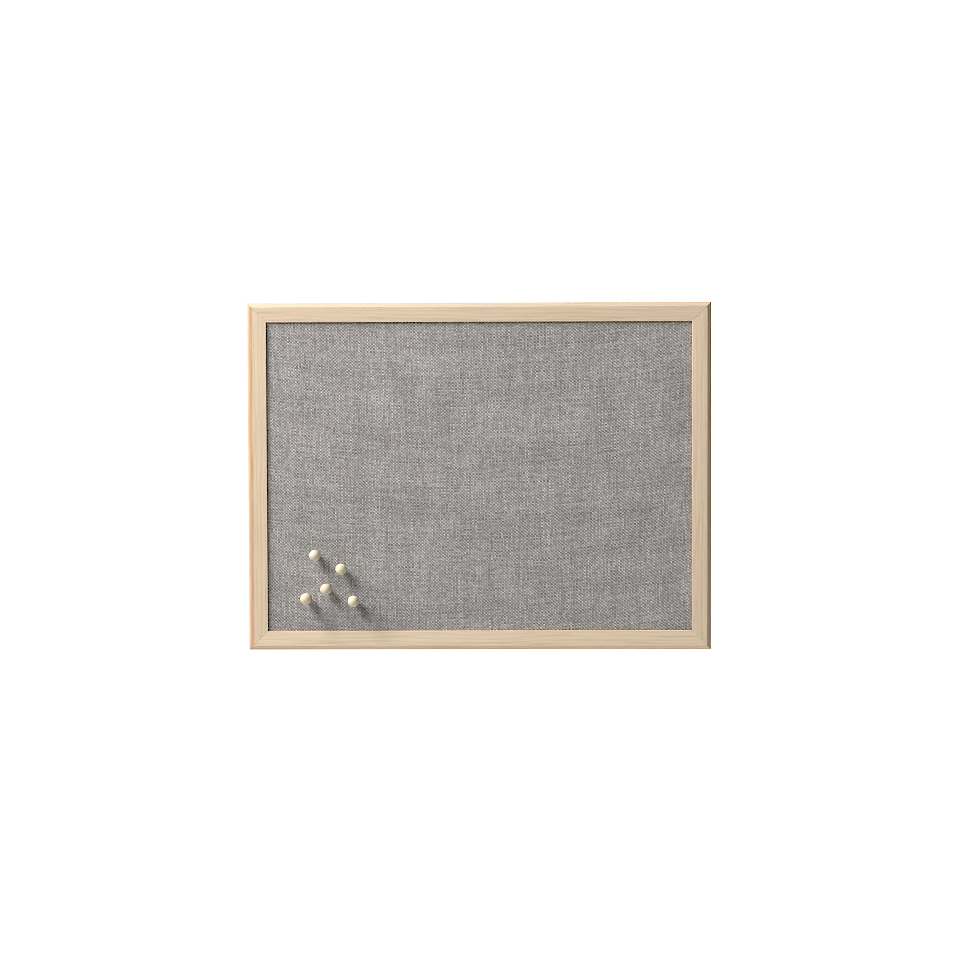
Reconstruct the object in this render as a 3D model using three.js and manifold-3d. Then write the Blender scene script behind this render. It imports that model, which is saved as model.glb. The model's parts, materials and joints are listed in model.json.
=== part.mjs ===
// Pin badge board: a mitred wooden frame holds a softboard panel covered with woven fabric, and turned
// wooden push pins stand in the fabric. Two ring hangers on the back carry it on the wall.
// Millimetres, +Z up. The front faces -Y and the frame's back lies in the plane y = 0, against the wall.
// The origin is the middle of the top rail's back face.
import * as THREE from 'three';
import Module from 'manifold-3d';
import { mergeVertices, toCreasedNormals } from 'three/addons/utils/BufferGeometryUtils.js';

const wasm = await Module();
wasm.setup();

// Board outline
const boardWidth = 400;
const boardHeight = 300;

// Clearances
const seatGap = 0.2; // between pieces that lie on each other
const slotGap = 0.2; // around sheet metal driven into the wood
const boreGap = 0.25; // around needles and screws in their holes
const panelGap = 0.6; // between the panel's edge and the rebate
const mitreGap = 0.1; // glue line between two rails
const cutPast = 1; // how far a cutting tool runs past the face that it opens

// Frame moulding
const backStrip = 12; // width of the rail behind the rebate
const rebateWidth = 4.5;
const lipThickness = 2.4; // wood in front of the rebate
const bevelWidth = 3.2; // sloping outer edge, across the front
const bevelDepth = 3.2; // and down the side
const arrisEase = 0.5; // rounding of the bevel's two edges
const lipRadius = 0.3; // nearly sharp inner edge

// Panel
const fabricThickness = 0.6;
const hemWidth = 14; // fabric turned over onto the back of the softboard
const tipCover = 0.7; // softboard left behind a needle's tip
const backingThickness = 2.5;
const backRecess = 1.4; // backing board set in from the frame's back

// Push pins
const ballRadius = 4.9;
const ballUnder = THREE.MathUtils.degToRad(-53); // where the ball runs into the neck, below its middle
const pinHeight = 17.4; // foot to the top of the ball
const neckRadius = 2.5;
const neckHeight = 4.8; // foot to the narrowest place
const footRadius = 3.7;
const footThickness = 1.3;
const needleRadius = 0.55;
const needleReach = 7.5; // needle showing below the foot
const needleSocket = 7; // needle held inside the wood
const needleTip = 2.2; // length of the point
// Places from the left and bottom inner edges of the frame
const pinPlaces = [
  { fromLeft: 41.7, fromBottom: 66.4 },
  { fromLeft: 64.4, fromBottom: 54.4 },
  { fromLeft: 51.1, fromBottom: 37.1 },
  { fromLeft: 33.8, fromBottom: 28.8 },
  { fromLeft: 74.8, fromBottom: 26.6 },
];

// V nails across the mitres
const nailsPerCorner = 2;
const nailWing = 5; // length of one wing
const nailOpening = THREE.MathUtils.degToRad(70); // angle between the wings
const nailThickness = 0.6;
const nailHeight = 7; // depth in the wood
const nailInset = 0.3; // sunk below the frame's back

// Flat points that hold the backing board in the rebate
const pointsPerRail = 3;
const pointsPerStile = 2;
const pointWidth = 6;
const pointThickness = 0.4;
const pointBite = 6; // length in the wood
const pointCover = 7; // length lying over the backing board
const pointNose = 3; // length of the driven tip

// Ring hangers
const hangerDrop = 36; // from the frame's top to the ring's axis
const strapWidth = 7;
const strapThickness = 0.8;
const strapTail = 5.2; // screw to the strap's lower end
const curlEnd = THREE.MathUtils.degToRad(-100); // where the rolled eye stops
const ringWire = 0.9; // radius of the ring's wire
const ringSide = 1.4; // between the strap's edge and the ring's wire
const ringShy = 0.5; // ring kept inside the frame's outer edge
const ringLeg = 3.4; // straight run from the axis to the round end
const ringCorner = 1.6;
const ringPlay = 0.3; // between the ring's wire and the rolled eye

// Hanger screws
const screwClear = 3.3; // between the hanging ring and the screw's head
const screwRadius = 1.3;
const screwLength = 10;
const screwPoint = 2.6;
const screwHeadRadius = 2.7;
const screwHeadHeight = 1.7;

// Smoothness of round forms
const arcSteps = 5;
const headSides = 18;
const wireSides = 8;
const ringSteps = 48;
const boreSides = 12;
const weldDistance = 1e-4; // vertices closer than this are one
const creaseAngle = Math.PI / 6; // sharper edges are shaded sharp

// Depths in front of the wall, from the back of the frame to its face
const backingFront = backRecess + backingThickness;
const hemBack = backingFront + seatGap;
const coreBack = hemBack + fabricThickness + seatGap;
const needleInCore = needleReach - fabricThickness - 2 * seatGap;
const coreFront = coreBack + tipCover + boreGap + needleInCore;
const fabricFront = coreFront + seatGap + fabricThickness;
const lipBack = fabricFront + seatGap;
const frameDepth = lipBack + lipThickness;

// Widths worked out from the moulding
const railWidth = backStrip + rebateWidth;
const panelWidth = boardWidth - 2 * (backStrip + panelGap);
const panelHeight = boardHeight - 2 * (backStrip + panelGap);
const pocketInset = 2 * fabricThickness;
const coreInset = 2 * (fabricThickness + seatGap);
const pointFront = backRecess - seatGap;
const pointBack = pointFront - pointThickness;
const ringHalfWidth = strapWidth / 2 + ringSide + ringWire;
const hangerInset = ringHalfWidth + ringWire + ringShy;
const screwDrop = ringLeg + ringHalfWidth + ringWire + screwClear + screwHeadRadius;
const strapLength = screwDrop + strapTail;
const eyeInner = ringWire + ringPlay;
const axisBehindWall = seatGap + strapThickness + eyeInner;

// Materials
const railWood = new THREE.MeshStandardMaterial({ color: 0xdcc5a4, roughness: 0.62, metalness: 0 });
const pinWood = new THREE.MeshStandardMaterial({ color: 0xf2e6cc, roughness: 0.5, metalness: 0 });
const fabric = new THREE.MeshStandardMaterial({ color: 0x9b9794, roughness: 0.95, metalness: 0 });
const softboard = new THREE.MeshStandardMaterial({ color: 0xa98f6b, roughness: 0.95, metalness: 0 });
const hardboard = new THREE.MeshStandardMaterial({ color: 0x7d5f42, roughness: 0.75, metalness: 0 });
const zincSteel = new THREE.MeshStandardMaterial({ color: 0xb9bdc0, roughness: 0.38, metalness: 1 });
const needleSteel = new THREE.MeshStandardMaterial({ color: 0xd2d4d6, roughness: 0.22, metalness: 1 });

// Closed mesh with shared vertices, ready for joining and cutting
function welded(geometry) {
  const bare = geometry.clone();
  bare.deleteAttribute('normal');
  bare.deleteAttribute('uv');
  return mergeVertices(bare, weldDistance);
}

function solidOf(geometry) {
  const closed = welded(geometry);
  const vertProperties = new Float32Array(closed.attributes.position.array);
  const triVerts = new Uint32Array(closed.index.array);
  return new wasm.Manifold(new wasm.Mesh({ numProp: 3, vertProperties, triVerts }));
}

function geometryOf(solid) {
  const mesh = solid.getMesh();
  const geometry = new THREE.BufferGeometry();
  geometry.setAttribute('position', new THREE.BufferAttribute(mesh.vertProperties, 3));
  geometry.setIndex(new THREE.BufferAttribute(mesh.triVerts, 1));
  return geometry;
}

function cut(geometry, tools) {
  let solid = solidOf(geometry);
  for (const tool of tools) {
    solid = solid.subtract(solidOf(tool));
  }
  return geometryOf(solid);
}

function piece(name, geometry, material) {
  const mesh = new THREE.Mesh(toCreasedNormals(welded(geometry), creaseAngle), material);
  mesh.name = name;
  return mesh;
}

// Flat shape given across and up the wall (x, z) and pushed towards the front from the depth given
function plate(shape, depth, thickness) {
  const geometry = new THREE.ExtrudeGeometry(shape, {
    depth: thickness, bevelEnabled: false, curveSegments: arcSteps,
  });
  const toWall = new THREE.Matrix4().makeBasis(
    new THREE.Vector3(1, 0, 0), new THREE.Vector3(0, 0, 1), new THREE.Vector3(0, -1, 0));
  return geometry.applyMatrix4(toWall.setPosition(0, -depth, 0));
}

// Box in front of the wall between two depths, centred on the board
function slab(width, height, back, front) {
  return new THREE.BoxGeometry(width, front - back, height).translate(0, -(back + front) / 2, 0);
}

// Round bore along Y between two depths
function bore(radius, back, front, x, z) {
  const geometry = new THREE.CylinderGeometry(radius, radius, front - back, boreSides);
  return geometry.translate(x, -(back + front) / 2, z);
}

// Moulding: the profile runs inwards from the outer edge and forwards from the wall
function mouldingProfile() {
  const slope = new THREE.Vector2(bevelWidth, bevelDepth).normalize().multiplyScalar(arrisEase);
  const shape = new THREE.Shape();
  shape.moveTo(0, 0);
  shape.lineTo(backStrip, 0);
  shape.lineTo(backStrip, lipBack);
  shape.lineTo(railWidth, lipBack);
  shape.lineTo(railWidth, frameDepth - lipRadius);
  shape.absarc(railWidth - lipRadius, frameDepth - lipRadius, lipRadius, 0, Math.PI / 2);
  shape.lineTo(bevelWidth + arrisEase, frameDepth);
  shape.quadraticCurveTo(bevelWidth, frameDepth, bevelWidth - slope.x, frameDepth - slope.y);
  shape.lineTo(slope.x, frameDepth - bevelDepth + slope.y);
  shape.quadraticCurveTo(0, frameDepth - bevelDepth, 0, frameDepth - bevelDepth - arrisEase);
  shape.closePath();
  return shape;
}

// Rail along X with its outer edge at z = 0, cut to a mitre at both ends
function mitredRail(length) {
  const geometry = new THREE.ExtrudeGeometry(mouldingProfile(), {
    depth: length, bevelEnabled: false, curveSegments: arcSteps,
  });
  const points = geometry.attributes.position;
  for (let i = 0; i < points.count; i += 1) {
    const fromCorner = points.getX(i) + mitreGap / Math.SQRT2;
    points.setZ(i, points.getZ(i) < length / 2 ? fromCorner : length - fromCorner);
  }
  const alongRail = new THREE.Matrix4().makeBasis(
    new THREE.Vector3(0, 0, -1), new THREE.Vector3(0, -1, 0), new THREE.Vector3(-1, 0, 0));
  return geometry.applyMatrix4(alongRail.setPosition(length / 2, 0, 0));
}

// V nail seen from behind, its apex at the origin and its wings opening along +X
function nailShape(grow) {
  const half = nailOpening / 2;
  const side = nailThickness / 2 + grow;
  const reach = nailWing + grow;
  const apex = side / Math.sin(half);
  const endX = reach * Math.cos(half);
  const endZ = reach * Math.sin(half);
  const offX = side * Math.sin(half);
  const offZ = side * Math.cos(half);
  const shape = new THREE.Shape();
  shape.moveTo(-apex, 0);
  shape.lineTo(endX - offX, -endZ - offZ);
  shape.lineTo(endX + offX, -endZ + offZ);
  shape.lineTo(apex, 0);
  shape.lineTo(endX + offX, endZ - offZ);
  shape.lineTo(endX - offX, endZ + offZ);
  shape.closePath();
  return shape;
}

// Distances of the nails from the outer corner, along the mitre
function nailRows() {
  const rows = [];
  for (let k = 0; k < nailsPerCorner; k += 1) {
    rows.push(((k + 0.5) / nailsPerCorner) * backStrip * Math.SQRT2);
  }
  return rows;
}

// Places of the flat points along a rail
function pointRow(length, count) {
  const clear = length - 2 * railWidth;
  const row = [];
  for (let k = 0; k < count; k += 1) {
    row.push(((k + 0.5) / count - 0.5) * clear);
  }
  return row;
}

// Flat point: a round end over the backing board and a pointed end in the rail
function pointShape(grow) {
  const half = pointWidth / 2 + grow;
  const shoulder = -backStrip + pointBite - pointNose + grow;
  const roundAt = -backStrip - pointCover + pointWidth / 2;
  const shape = new THREE.Shape();
  shape.moveTo(half, roundAt);
  shape.lineTo(half, shoulder);
  shape.lineTo(0, shoulder + pointNose);
  shape.lineTo(-half, shoulder);
  shape.lineTo(-half, roundAt);
  shape.absarc(0, roundAt, half, Math.PI, 2 * Math.PI);
  return shape;
}

// One rail with its slots: V nails at both ends, flat points in the rebate and a screw hole for a hanger
function railGeometry(length, pointCount, screwAlong) {
  const tools = [];
  const ends = [
    { x: length / 2, turn: (3 * Math.PI) / 4 },
    { x: -length / 2, turn: Math.PI / 4 },
  ];
  for (const end of ends) {
    for (const distance of nailRows()) {
      const slot = plate(nailShape(slotGap), -cutPast, cutPast + nailInset + nailHeight + slotGap);
      tools.push(slot.translate(distance, 0, 0).rotateY(end.turn).translate(end.x, 0, 0));
    }
  }
  for (const along of pointRow(length, pointCount)) {
    const slit = plate(pointShape(slotGap), pointBack - slotGap, pointThickness + 2 * slotGap);
    tools.push(slit.translate(along, 0, 0));
  }
  if (screwAlong !== null) {
    const inWood = screwLength - strapThickness - seatGap;
    tools.push(bore(screwRadius + boreGap, -cutPast, inWood + boreGap, screwAlong, -hangerInset));
  }
  return cut(mitredRail(length), tools);
}

// Fabric cover: a shallow tray with its hem turned in over the back of the softboard
function fabricGeometry() {
  const whole = slab(panelWidth, panelHeight, hemBack, fabricFront);
  const pocketBack = hemBack + fabricThickness;
  const pocketFront = fabricFront - fabricThickness;
  const pocket = slab(panelWidth - pocketInset, panelHeight - pocketInset, pocketBack, pocketFront);
  const middle = slab(
    panelWidth - 2 * hemWidth, panelHeight - 2 * hemWidth, hemBack - cutPast, pocketBack + cutPast);
  const holes = pinCentres().map(({ x, z }) => (
    bore(needleRadius + boreGap, pocketFront - cutPast, fabricFront + cutPast, x, z)));
  return cut(whole, [pocket, middle, ...holes]);
}

// Softboard with a blind hole for each needle
function coreGeometry() {
  const whole = slab(panelWidth - coreInset, panelHeight - coreInset, coreBack, coreFront);
  const holeEnd = coreBack + tipCover;
  const holes = pinCentres().map(({ x, z }) => (
    bore(needleRadius + boreGap, holeEnd, coreFront + cutPast, x, z)));
  return cut(whole, holes);
}

// Middle of each pin, measured from the centre of the board
function pinCentres() {
  return pinPlaces.map(({ fromLeft, fromBottom }) => ({
    x: railWidth + fromLeft - boardWidth / 2,
    z: railWidth + fromBottom - boardHeight / 2,
  }));
}

// Turned pin: ball, drawn-in neck and a small foot, drilled from below for the needle
function headGeometry() {
  const centre = pinHeight - ballRadius;
  const ballEnd = centre + ballRadius * Math.sin(ballUnder);
  const edge = footThickness / 2;
  const hole = needleRadius + boreGap;
  const profile = new THREE.Path();
  profile.moveTo(0, pinHeight);
  profile.absarc(0, centre, ballRadius, Math.PI / 2, ballUnder, true);
  profile.quadraticCurveTo(neckRadius, (ballEnd + neckHeight) / 2, neckRadius, neckHeight);
  profile.quadraticCurveTo(neckRadius, footThickness, footRadius - edge, footThickness);
  profile.absarc(footRadius - edge, edge, edge, Math.PI / 2, -Math.PI / 2, true);
  profile.lineTo(hole, 0);
  profile.lineTo(hole, needleSocket + boreGap);
  profile.lineTo(0, needleSocket + boreGap);
  return new THREE.LatheGeometry(profile.getPoints(arcSteps).reverse(), headSides);
}

function needleGeometry() {
  const profile = [
    new THREE.Vector2(0, -needleReach),
    new THREE.Vector2(needleRadius, needleTip - needleReach),
    new THREE.Vector2(needleRadius, needleSocket),
    new THREE.Vector2(0, needleSocket),
  ];
  return new THREE.LatheGeometry(profile, boreSides);
}

// Hanger strap: a flat strip whose top end is rolled into an eye round the ring, with a round lower end
function strapGeometry() {
  const eyeOuter = eyeInner + strapThickness;
  const side = new THREE.Shape();
  side.moveTo(-eyeOuter, -strapLength);
  side.lineTo(-eyeOuter, 0);
  side.absarc(0, 0, eyeOuter, Math.PI, curlEnd, true);
  side.lineTo(eyeInner * Math.cos(curlEnd), eyeInner * Math.sin(curlEnd));
  side.absarc(0, 0, eyeInner, curlEnd, Math.PI, false);
  side.lineTo(-eyeInner, -strapLength);
  side.closePath();
  const strip = new THREE.ExtrudeGeometry(side, {
    depth: strapWidth, bevelEnabled: false, curveSegments: 2 * arcSteps,
  });
  const acrossStrap = new THREE.Matrix4().makeBasis(
    new THREE.Vector3(0, 1, 0), new THREE.Vector3(0, 0, 1), new THREE.Vector3(1, 0, 0));
  strip.applyMatrix4(acrossStrap.setPosition(-strapWidth / 2, 0, 0));
  const roundAt = strapWidth / 2 - strapLength;
  const front = new THREE.Shape();
  front.moveTo(strapWidth / 2 + cutPast, roundAt);
  front.lineTo(strapWidth / 2 + cutPast, -strapLength - cutPast);
  front.lineTo(-strapWidth / 2 - cutPast, -strapLength - cutPast);
  front.lineTo(-strapWidth / 2 - cutPast, roundAt);
  front.lineTo(-strapWidth / 2, roundAt);
  front.absarc(0, roundAt, strapWidth / 2, Math.PI, 2 * Math.PI);
  front.closePath();
  const corners = plate(front, eyeInner - cutPast, strapThickness + 2 * cutPast);
  const hole = bore(screwRadius + boreGap, eyeInner - cutPast, eyeOuter + cutPast, 0, -screwDrop);
  return cut(strip, [corners, hole]);
}

// D ring hanging from its axis, a closed loop of round wire
function ringGeometry() {
  const outline = new THREE.Path();
  outline.moveTo(0, 0);
  outline.absarc(ringHalfWidth - ringCorner, -ringCorner, ringCorner, Math.PI / 2, 0, true);
  outline.absarc(0, -ringLeg, ringHalfWidth, 0, -Math.PI, true);
  outline.absarc(ringCorner - ringHalfWidth, -ringCorner, ringCorner, Math.PI, Math.PI / 2, true);
  outline.closePath();
  const middle = outline.getSpacedPoints(ringSteps).slice(0, -1);
  const curve = new THREE.CatmullRomCurve3(middle.map(({ x, y }) => new THREE.Vector3(x, 0, y)), true);
  return new THREE.TubeGeometry(curve, ringSteps, ringWire, wireSides, true);
}

// Round-head screw with its seat at y = 0 and its shank towards the front
function screwGeometry() {
  const profile = new THREE.Path();
  profile.moveTo(0, -screwLength);
  profile.lineTo(screwRadius, screwPoint - screwLength);
  profile.lineTo(screwRadius, 0);
  profile.lineTo(screwHeadRadius, 0);
  profile.quadraticCurveTo(screwHeadRadius, screwHeadHeight, 0, screwHeadHeight);
  return new THREE.LatheGeometry(profile.getPoints(arcSteps), boreSides);
}

// The board is built round its centre, then set so that the origin is on the top rail's back
const board = new THREE.Group();
board.position.z = backStrip / 2 - boardHeight / 2;

const screwHeight = boardHeight / 2 - hangerDrop - screwDrop;
const rail = { length: boardWidth, outer: boardHeight / 2, points: pointsPerRail, screwAlong: null };
const stile = { length: boardHeight, outer: boardWidth / 2, points: pointsPerStile };
const rails = [
  { name: 'rail_top', side: 'top', turn: 0, ...rail },
  { name: 'stile_right', side: 'right', turn: Math.PI / 2, ...stile, screwAlong: -screwHeight },
  { name: 'rail_bottom', side: 'bottom', turn: Math.PI, ...rail },
  { name: 'stile_left', side: 'left', turn: -Math.PI / 2, ...stile, screwAlong: screwHeight },
];
for (const { name, side, turn, length, outer, points, screwAlong } of rails) {
  const place = new THREE.Group();
  place.position.set(outer * Math.sin(turn), 0, outer * Math.cos(turn));
  place.rotation.y = turn;
  place.add(piece(name, railGeometry(length, points, screwAlong), railWood));
  pointRow(length, points).forEach((along, k) => {
    const flat = plate(pointShape(0), pointBack, pointThickness);
    const point = piece(`panel_point_${side}_${k + 1}`, flat, zincSteel);
    point.position.x = along;
    place.add(point);
  });
  board.add(place);
}

const corners = [
  { name: 'top_right', x: 1, z: 1, turn: (3 * Math.PI) / 4 },
  { name: 'top_left', x: -1, z: 1, turn: Math.PI / 4 },
  { name: 'bottom_left', x: -1, z: -1, turn: -Math.PI / 4 },
  { name: 'bottom_right', x: 1, z: -1, turn: (-3 * Math.PI) / 4 },
];
for (const { name, x, z, turn } of corners) {
  const corner = new THREE.Group();
  corner.position.set((x * boardWidth) / 2, 0, (z * boardHeight) / 2);
  corner.rotation.y = turn;
  nailRows().forEach((distance, k) => {
    const nail = piece(`corner_nail_${name}_${k + 1}`, plate(nailShape(0), nailInset, nailHeight), zincSteel);
    nail.position.x = distance;
    corner.add(nail);
  });
  board.add(corner);
}

board.add(piece('fabric_cover', fabricGeometry(), fabric));
board.add(piece('softboard_core', coreGeometry(), softboard));
board.add(piece('backing_board', slab(panelWidth, panelHeight, backRecess, backingFront), hardboard));

for (const side of ['left', 'right']) {
  const sign = side === 'left' ? -1 : 1;
  const hanger = new THREE.Group();
  hanger.position.set(sign * (boardWidth / 2 - hangerInset), axisBehindWall, boardHeight / 2 - hangerDrop);
  hanger.add(piece(`hanger_strap_${side}`, strapGeometry(), zincSteel));
  hanger.add(piece(`hanger_ring_${side}`, ringGeometry(), zincSteel));
  const screw = piece(`hanger_screw_${side}`, screwGeometry(), zincSteel);
  screw.position.set(0, seatGap - eyeInner, -screwDrop);
  hanger.add(screw);
  board.add(hanger);
}

pinCentres().forEach(({ x, z }, k) => {
  const pin = new THREE.Group();
  pin.position.set(x, -fabricFront - seatGap, z);
  pin.rotation.x = Math.PI;
  pin.add(piece(`pin_${k + 1}_head`, headGeometry(), pinWood));
  pin.add(piece(`pin_${k + 1}_needle`, needleGeometry(), needleSteel));
  board.add(pin);
});

const pinBadgeBoard = new THREE.Group();
pinBadgeBoard.add(board);

export default pinBadgeBoard;
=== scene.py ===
# Wall board for pin badges: wood grain, woven cloth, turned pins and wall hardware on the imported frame.
# Metres, +Z up, the cloth faces -Y. Sizes in the dictionaries are millimetres, turned to metres by mm.
import json
import math

import bpy
import numpy as np
from mathutils import Matrix, Quaternion, Vector


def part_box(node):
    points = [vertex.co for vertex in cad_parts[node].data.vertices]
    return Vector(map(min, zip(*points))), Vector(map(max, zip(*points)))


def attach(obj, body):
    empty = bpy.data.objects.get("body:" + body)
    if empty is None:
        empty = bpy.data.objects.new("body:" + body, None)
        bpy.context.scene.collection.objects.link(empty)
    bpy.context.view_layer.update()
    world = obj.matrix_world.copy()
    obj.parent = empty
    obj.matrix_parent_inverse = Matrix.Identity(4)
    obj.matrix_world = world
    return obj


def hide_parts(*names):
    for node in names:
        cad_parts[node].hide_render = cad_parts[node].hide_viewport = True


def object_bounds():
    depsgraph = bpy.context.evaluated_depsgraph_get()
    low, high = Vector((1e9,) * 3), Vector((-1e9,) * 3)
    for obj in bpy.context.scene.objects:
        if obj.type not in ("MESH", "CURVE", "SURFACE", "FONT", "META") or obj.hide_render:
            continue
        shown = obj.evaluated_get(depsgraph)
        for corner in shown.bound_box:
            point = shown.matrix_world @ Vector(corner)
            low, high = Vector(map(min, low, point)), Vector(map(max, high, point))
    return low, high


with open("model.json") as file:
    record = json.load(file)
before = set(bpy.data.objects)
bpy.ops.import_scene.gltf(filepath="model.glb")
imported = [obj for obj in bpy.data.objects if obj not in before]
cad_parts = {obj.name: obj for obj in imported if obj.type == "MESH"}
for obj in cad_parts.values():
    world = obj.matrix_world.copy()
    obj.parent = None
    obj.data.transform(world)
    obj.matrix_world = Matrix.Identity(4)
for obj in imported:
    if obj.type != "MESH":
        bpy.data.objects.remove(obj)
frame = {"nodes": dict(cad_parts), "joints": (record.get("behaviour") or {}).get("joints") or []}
nodes = frame["nodes"]
cadLow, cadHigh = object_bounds()
mm = 0.001
root2 = math.sqrt(2)
justShort = 0.01  # keeps two rows of a form apart where they would meet


# corners in metres as an array of mm, rounded to a thousandth
def inMm(corners):
    return np.round(np.array(corners) / mm, 3)


boardLow, boardHigh = inMm((cadLow, cadHigh))
boardHalf = (boardHigh - boardLow) / 2  # half width, depth and height
boardMiddle = np.array([0.0, 0.0, (boardLow[2] + boardHigh[2]) / 2])  # centre of the board's back
print("frame loaded with", len(nodes), "nodes")


# a new object in the scene
def addObject(name, data):
    made = bpy.data.objects.new(name, data)
    bpy.context.scene.collection.objects.link(made)
    return made


# Camera

photoView = {
    "aim": (0.534, -8.0, -147.271),
    "distance": 2500.0,
    "azimuth": 0.989,
    "elevation": 2.929,
    "roll": -0.185,
    "lens": 108.288,
    "sensor": 36.0,
    "clip": (0.05, 60.0),  # metres
}


# the camera stands on a sphere round the aim point, looks at it, then rolls about its own axis
def makeCamera():
    a, e = math.radians(photoView["azimuth"]), math.radians(photoView["elevation"])
    back = Vector((math.sin(a) * math.cos(e), -math.cos(a) * math.cos(e), math.sin(e)))
    data = bpy.data.cameras.new("photoCamera")
    data.lens = photoView["lens"]
    data.sensor_width = photoView["sensor"]
    data.clip_start, data.clip_end = photoView["clip"]
    camera = addObject("photoCamera", data)
    camera.rotation_mode = "QUATERNION"
    camera.location = (Vector(photoView["aim"]) + back * photoView["distance"]) * mm
    roll = Quaternion((0.0, 0.0, 1.0), math.radians(photoView["roll"]))
    camera.rotation_quaternion = (-back).to_track_quat("-Z", "Y") @ roll
    bpy.context.scene.camera = camera


makeCamera()
print("camera set")


# Mesh making

# quads between neighbours of a rows by cols grid; a wrapped side joins its last line to its first
def gridQuads(rows, cols, wrapRows=False, wrapCols=False):
    r = np.arange(rows if wrapRows else rows - 1)
    c = np.arange(cols if wrapCols else cols - 1)
    a, b = np.meshgrid(r, c, indexing="ij")
    nextA, nextB = (a + 1) % rows, (b + 1) % cols
    quads = [a * cols + b, nextA * cols + b, nextA * cols + nextB, a * cols + nextB]
    return np.stack(quads, -1).reshape(-1, 4)


# walls of a closed outline carried along the rows, and one face over each end
def loftFaces(rows, cols):
    ends = np.stack([np.arange(cols), (rows - 1) * cols + np.arange(cols)[::-1]])
    return [gridQuads(rows, cols, wrapCols=True), ends]


# six times the volume inside the faces, as the sum of corner triple products over a fan of each face
def signedVolume(points, faceSets):
    total = 0.0
    for faces in faceSets:
        for k in range(1, faces.shape[1] - 1):
            p, q, r = points[faces[:, 0]], points[faces[:, k]], points[faces[:, k + 1]]
            total += float(np.einsum("ij,ij->", p, np.cross(q, r)))
    return total


# one mesh object from points in mm and arrays of faces; a closed one is turned over if its volume is negative
def makePiece(name, points, faceSets, sharpAngle=40.0, attributes=None, flatCut=None, closed=True):
    points = points.reshape(-1, 3)
    faceSets = [np.atleast_2d(f) for f in faceSets]
    if closed and signedVolume(points - points.mean(0), faceSets) < 0:
        faceSets = [f[:, ::-1] for f in faceSets]
    corners = np.concatenate([f.ravel() for f in faceSets]).astype(np.int32)
    sizes = np.concatenate([np.full(len(f), f.shape[1]) for f in faceSets])
    starts = np.concatenate([[0], np.cumsum(sizes)[:-1]]).astype(np.int32)
    mesh = bpy.data.meshes.new(name)
    mesh.vertices.add(len(points))
    mesh.loops.add(len(corners))
    mesh.polygons.add(len(sizes))
    mesh.vertices.foreach_set("co", (points * mm).astype(np.float32).ravel())
    mesh.loops.foreach_set("vertex_index", corners)
    mesh.polygons.foreach_set("loop_start", starts)
    mesh.update(calc_edges=True)
    mesh.validate()
    mesh.shade_smooth()
    mesh.set_sharp_from_angle(angle=math.radians(sharpAngle))
    for label, values in (attributes or {}).items():
        layer = mesh.attributes.new(label, "FLOAT", "POINT")
        layer.data.foreach_set("value", values.astype(np.float32))
    if flatCut is not None:
        layer = mesh.uv_layers.new(name="flatCut")
        layer.data.foreach_set("uv", flatCut[corners].astype(np.float32).ravel())
    return addObject(name, mesh)


# one material in place of any that the piece had
def paint(piece, material):
    piece.data.materials.clear()
    piece.data.materials.append(material)


# gives a piece its material and body, and hides the node that it stands for
def dress(piece, material, body, node):
    paint(piece, material)
    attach(piece, body)
    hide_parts(node)


# points of a quadratic curve: start, pull and end weighted by (1 - t) squared, 2 t (1 - t) and t squared
def quadratic(start, pull, end, steps):
    t = np.linspace(0, 1, steps)[:, None]
    return (1 - t) ** 2 * np.array(start) + 2 * t * (1 - t) * np.array(pull) + t ** 2 * np.array(end)


# an arc of a circle as (x, y) points between two angles
def arc(cx, cy, r, start, stop, steps):
    t = np.linspace(start, stop, steps)
    return np.stack([cx + r * np.cos(t), cy + r * np.sin(t)], -1)


# rows scaled to a length of 1
def unit(rows):
    return rows / np.linalg.norm(rows, axis=1, keepdims=True)


# a closed outline whose corners are replaced by quadratic curves between the points where rounding starts
def easedLoop(corners, radii, steps):
    p = np.array(corners, float)
    r = np.array(radii, float)[:, None]
    before = p + unit(np.roll(p, 1, 0) - p) * r
    after = p + unit(np.roll(p, -1, 0) - p) * r
    return quadratic(before[:, None], p[:, None], after[:, None], steps).reshape(-1, 2)


# a profile of (radius, height) points turned about an axis, as a grid of profile points by sides
def turned(profile, sides):
    angle = np.arange(sides) / sides * 2 * np.pi
    radius, height = profile[:, 0:1], profile[:, 1:2]
    return np.stack([radius * np.cos(angle), radius * np.sin(angle), height + 0 * angle], -1)


# triangles from a turned form's first point to its second ring
def poleFan(sides):
    k = np.arange(sides)
    return np.stack([np.zeros(sides, int), sides + k, sides + (k + 1) % sides], -1)


# faces of a turned form whose first and last profile points are poles, each closed by a fan
def turnedFaces(rows, sides):
    inner = gridQuads(rows, sides, wrapCols=True)[sides:-sides]
    k = np.arange(sides)
    last = (rows - 2) * sides + np.stack([(k + 1) % sides, k, np.full(sides, sides)], -1)
    return [inner, poleFan(sides), last]


# Node helpers

noiseRange = (0.25, 0.75)  # where nearly all of a noise lies


# links a socket, or sets a plain value
def put(tree, node, key, given):
    if isinstance(given, bpy.types.NodeSocket):
        tree.links.new(given, node.inputs[key])
    else:
        node.inputs[key].default_value = given


# fills a node's sockets by name, with an underscore for each blank in it
def feed(tree, node, **parts):
    for label, part in parts.items():
        put(tree, node, label.replace("_", " "), part)


# a new node with its first inputs filled in their order
def addNode(tree, kind, *given):
    node = tree.nodes.new(kind)
    for key, part in enumerate(given):
        put(tree, node, key, part)
    return node


# one maths node of a kind, on up to three values
def calc(tree, kind, *given):
    node = addNode(tree, "ShaderNodeMath", *given)
    node.operation = kind
    return node.outputs[0]


# a plus b
def plus(tree, a, b):
    return calc(tree, "ADD", a, b)


# a minus b
def minus(tree, a, b):
    return calc(tree, "SUBTRACT", a, b)


# a times b
def times(tree, a, b):
    return calc(tree, "MULTIPLY", a, b)


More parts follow.
